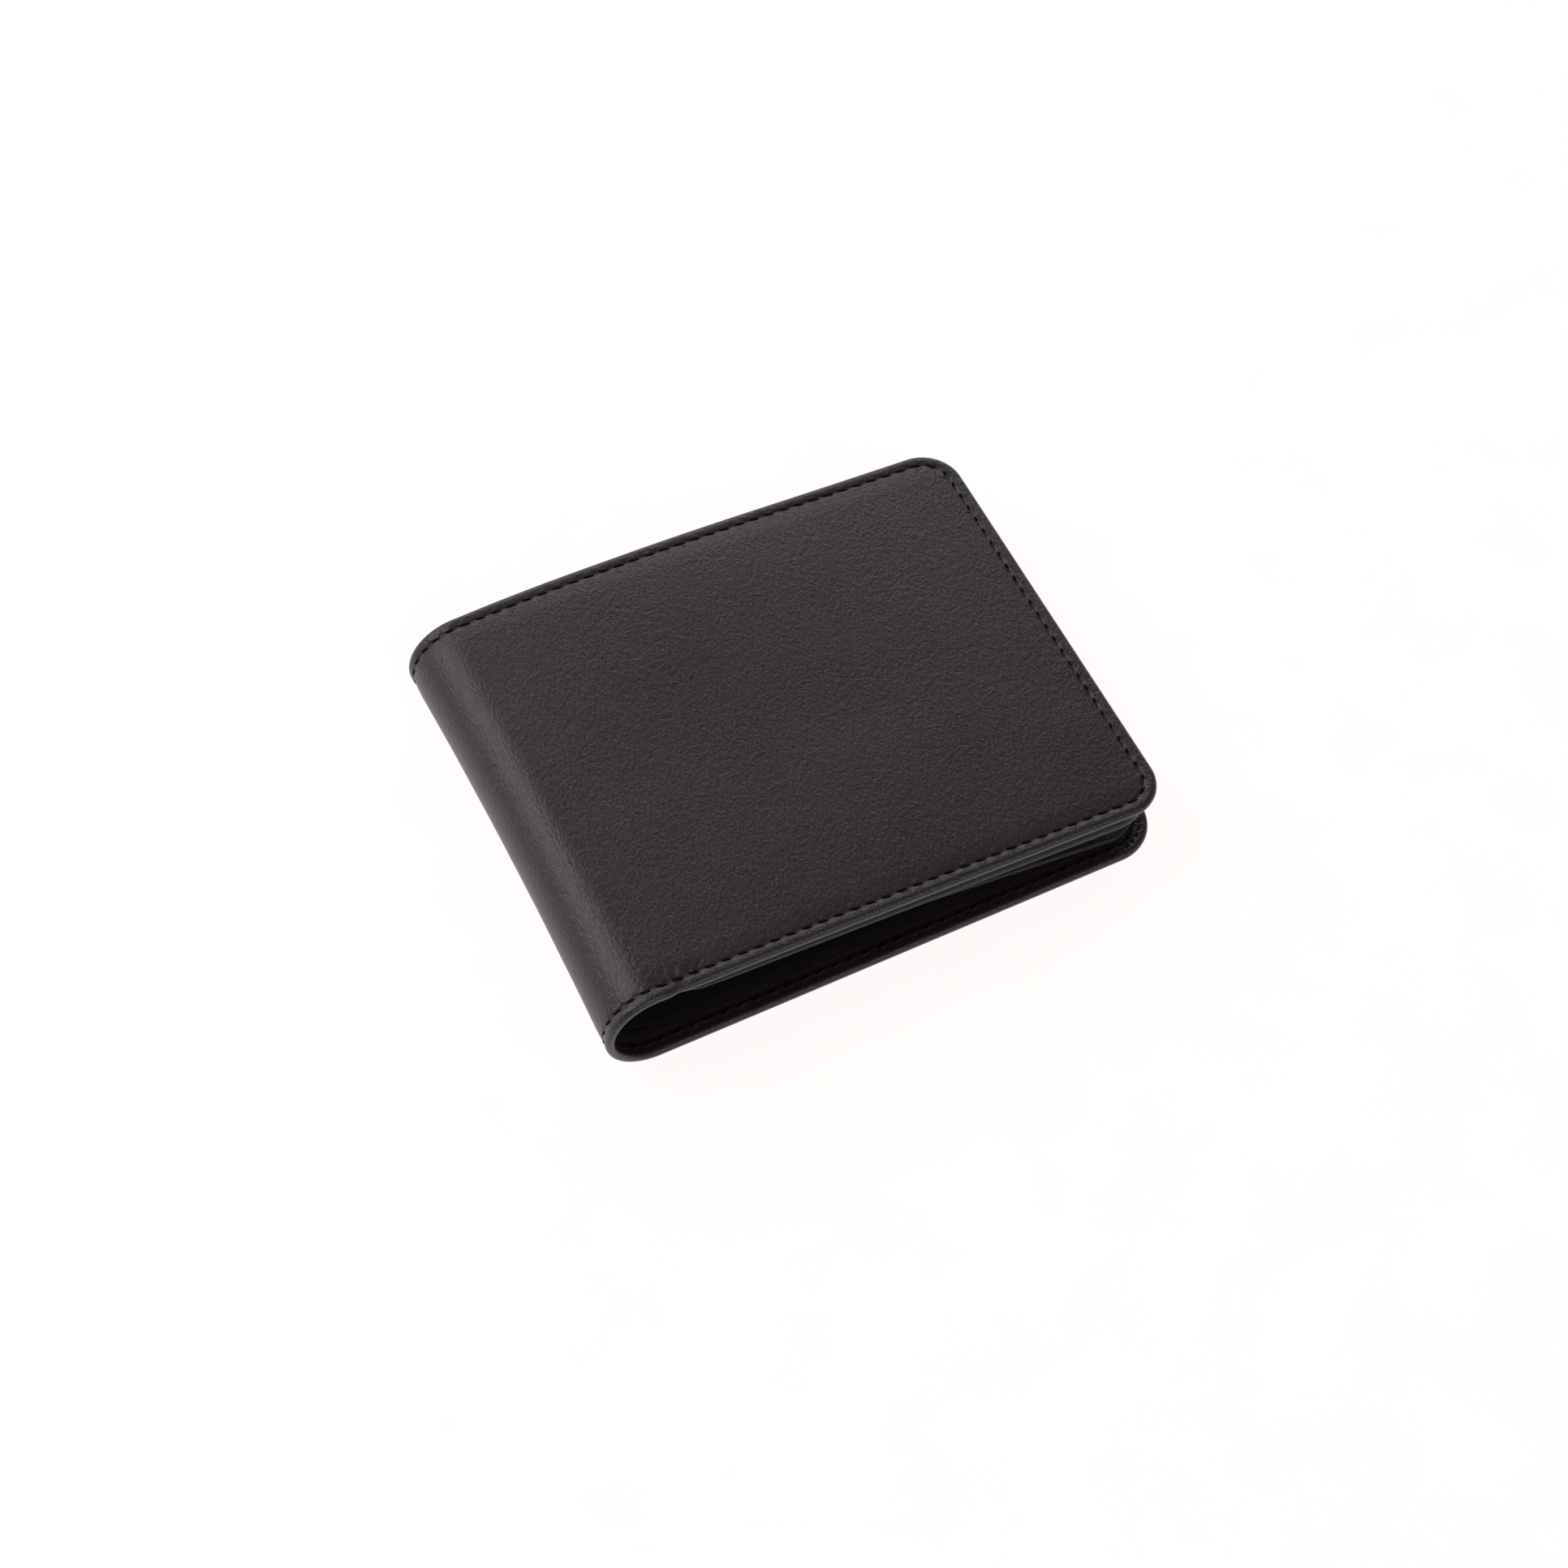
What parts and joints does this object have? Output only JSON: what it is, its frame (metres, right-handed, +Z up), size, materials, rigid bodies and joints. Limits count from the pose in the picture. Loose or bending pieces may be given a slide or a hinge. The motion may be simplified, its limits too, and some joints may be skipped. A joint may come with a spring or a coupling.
{
  "type": "bifold wallet",
  "caption": "Black leather bifold wallet, folded closed, with a turned and stitched edge, a lined bill compartment and card pockets inside. It unfolds flat round its spine.",
  "frame": {"origin": "middle of the closed wallet's outline, on the surface that it lies on", "axes": "+Z up out of the front cover, +X from the folded spine to the open edge, +Y from the bill opening to the sewn bottom edge"},
  "size_m": [0.115, 0.093, 0.0206],
  "materials": {
    "cover_leather": "satin",
    "panel_leather": "satin",
    "lining": "matte",
    "divider": "matte",
    "thread": "waxed",
    "board": "matte"
  },
  "bodies": {
    "back_leaf": {"back_bill_divider": "divider", "back_card_pocket_1": "panel_leather", "back_card_pocket_2": "panel_leather", "back_card_pocket_3": "panel_leather", "back_cover_board": "board", "back_cover_leather": "cover_leather", "back_cover_lining": "lining", "back_cover_thread": "thread", "back_panel": "panel_leather", "back_panel_thread": "thread"},
    "back_panel_corner": {"back_corner_card_pocket_1": "panel_leather", "back_corner_card_pocket_2": "panel_leather", "back_corner_card_pocket_3": "panel_leather", "back_corner_panel": "panel_leather", "back_corner_panel_thread": "thread"},
    "spine_lower": {"spine_lower_divider": "divider", "spine_lower_leather": "cover_leather", "spine_lower_lining": "lining", "spine_lower_thread": "thread"},
    "spine_middle": {"spine_middle_divider": "divider", "spine_middle_leather": "cover_leather", "spine_middle_lining": "lining", "spine_middle_thread": "thread"},
    "spine_upper": {"spine_upper_divider": "divider", "spine_upper_leather": "cover_leather", "spine_upper_lining": "lining", "spine_upper_thread": "thread"},
    "front_leaf": {"front_bill_divider": "divider", "front_card_pocket_1": "panel_leather", "front_card_pocket_2": "panel_leather", "front_card_pocket_3": "panel_leather", "front_cover_board": "board", "front_cover_leather": "cover_leather", "front_cover_lining": "lining", "front_cover_thread": "thread", "front_panel": "panel_leather", "front_panel_thread": "thread"}
  },
  "joints": [
    {"name": "fold_1", "type": "hinge", "parent": "back_leaf", "child": "spine_lower", "pos_m": [-0.0512, 0, 0.00081], "axis": [0, -1, 0], "range_deg": [0, 45.67]},
    {"name": "fold_2", "type": "hinge", "parent": "spine_lower", "child": "spine_middle", "pos_m": [-0.05678, 0, 0.00653], "axis": [0, -1, 0], "range_deg": [0, 45.67]},
    {"name": "fold_3", "type": "hinge", "parent": "spine_middle", "child": "spine_upper", "pos_m": [-0.0566, 0, 0.01452], "axis": [0, -1, 0], "range_deg": [0, 45.67]},
    {"name": "fold_4", "type": "hinge", "parent": "spine_upper", "child": "front_leaf", "pos_m": [-0.05075, 0, 0.01997], "axis": [0, -1, 0], "range_deg": [0, 45.67]},
    {"name": "bill_mouth", "type": "hinge", "parent": "back_leaf", "child": "back_panel_corner", "pos_m": [0.0521, -0.0432, 0.0051], "axis": [-0.763, 0.6464, 0], "range_deg": [-12, 0]}
  ],
  "couplings": [
    {"joint": "fold_2", "follows": "fold_1", "ratio": 1},
    {"joint": "fold_3", "follows": "fold_1", "ratio": 1},
    {"joint": "fold_4", "follows": "fold_1", "ratio": 1},
    {"joint": "bill_mouth", "follows": "fold_1", "ratio": -0.26275}
  ]
}
